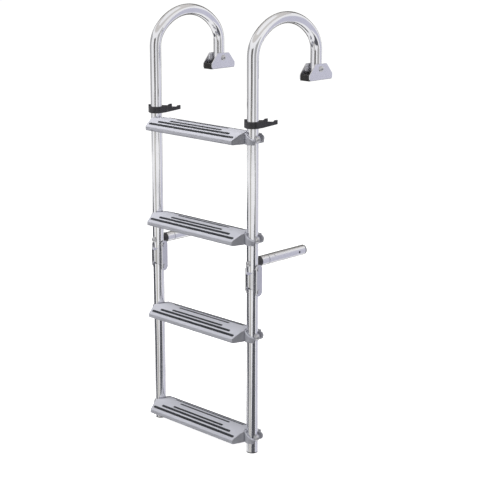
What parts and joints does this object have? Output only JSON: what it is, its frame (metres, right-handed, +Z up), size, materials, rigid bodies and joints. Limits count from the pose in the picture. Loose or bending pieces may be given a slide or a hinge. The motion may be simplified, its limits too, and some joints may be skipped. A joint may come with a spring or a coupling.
{
  "type": "boat ladder",
  "caption": "Folding boat ladder with hooks for a gunwale, swivelling deck feet, crowned grey treads, stand-off arms and fold-up lower section.",
  "frame": {"origin": "centre of the left deck foot's underside, below its bolt", "axes": "+X across the ladder to the right rail, +Y towards the boat, +Z up"},
  "size_m": [0.338, 0.2795, 0.958],
  "materials": {
    "polished_steel": "polished",
    "grey_plastic": "fine moulded grain",
    "black_plastic": "satin",
    "dark_rubber": "matte"
  },
  "bodies": {
    "deck_feet": {"left_foot_plates": "polished_steel", "left_foot_pad": "black_plastic", "left_foot_bolt": "polished_steel", "right_foot_plates": "polished_steel", "right_foot_pad": "black_plastic", "right_foot_bolt": "polished_steel"},
    "upper_ladder": {"tread_1": "grey_plastic", "grip_strips_1": "dark_rubber", "tie_rod_1": "polished_steel", "tread_bolts_1": "polished_steel", "tread_2": "grey_plastic", "grip_strips_2": "dark_rubber", "tie_rod_2": "polished_steel", "tread_bolts_2": "polished_steel", "left_hook_rail": "polished_steel", "left_clip": "black_plastic", "left_standoff_saddle": "black_plastic", "left_standoff_socket": "polished_steel", "left_standoff_tube": "polished_steel", "left_standoff_cap": "black_plastic", "left_standoff_bolt": "polished_steel", "right_hook_rail": "polished_steel", "right_clip": "black_plastic", "right_standoff_saddle": "black_plastic", "right_standoff_socket": "polished_steel", "right_standoff_tube": "polished_steel", "right_standoff_cap": "black_plastic", "right_standoff_bolt": "polished_steel", "upper_hinge_plugs": "black_plastic"},
    "hinge_links": {"left_hinge_link": "polished_steel", "right_hinge_link": "polished_steel", "upper_hinge_pins": "polished_steel", "lower_hinge_pins": "polished_steel"},
    "lower_ladder": {"left_lower_rail": "polished_steel", "right_lower_rail": "polished_steel", "lower_hinge_plugs": "black_plastic", "rail_end_plugs": "black_plastic", "tread_3": "grey_plastic", "grip_strips_3": "dark_rubber", "tie_rod_3": "polished_steel", "tread_bolts_3": "polished_steel", "tread_4": "grey_plastic", "grip_strips_4": "dark_rubber", "tie_rod_4": "polished_steel", "tread_bolts_4": "polished_steel"}
  },
  "joints": [
    {"name": "ladder_swing", "type": "hinge", "parent": "deck_feet", "child": "upper_ladder", "pos_m": [0, 0, 0.024], "axis": [1, 0, 0], "range_deg": [-80, 0]},
    {"name": "link_fold", "type": "hinge", "parent": "upper_ladder", "child": "hinge_links", "pos_m": [0, -0.192, -0.3865], "axis": [1, 0, 0], "range_deg": [0, 45]},
    {"name": "lower_fold", "type": "hinge", "parent": "hinge_links", "child": "lower_ladder", "pos_m": [0, -0.192, -0.4365], "axis": [1, 0, 0], "range_deg": [0, 45]}
  ]
}
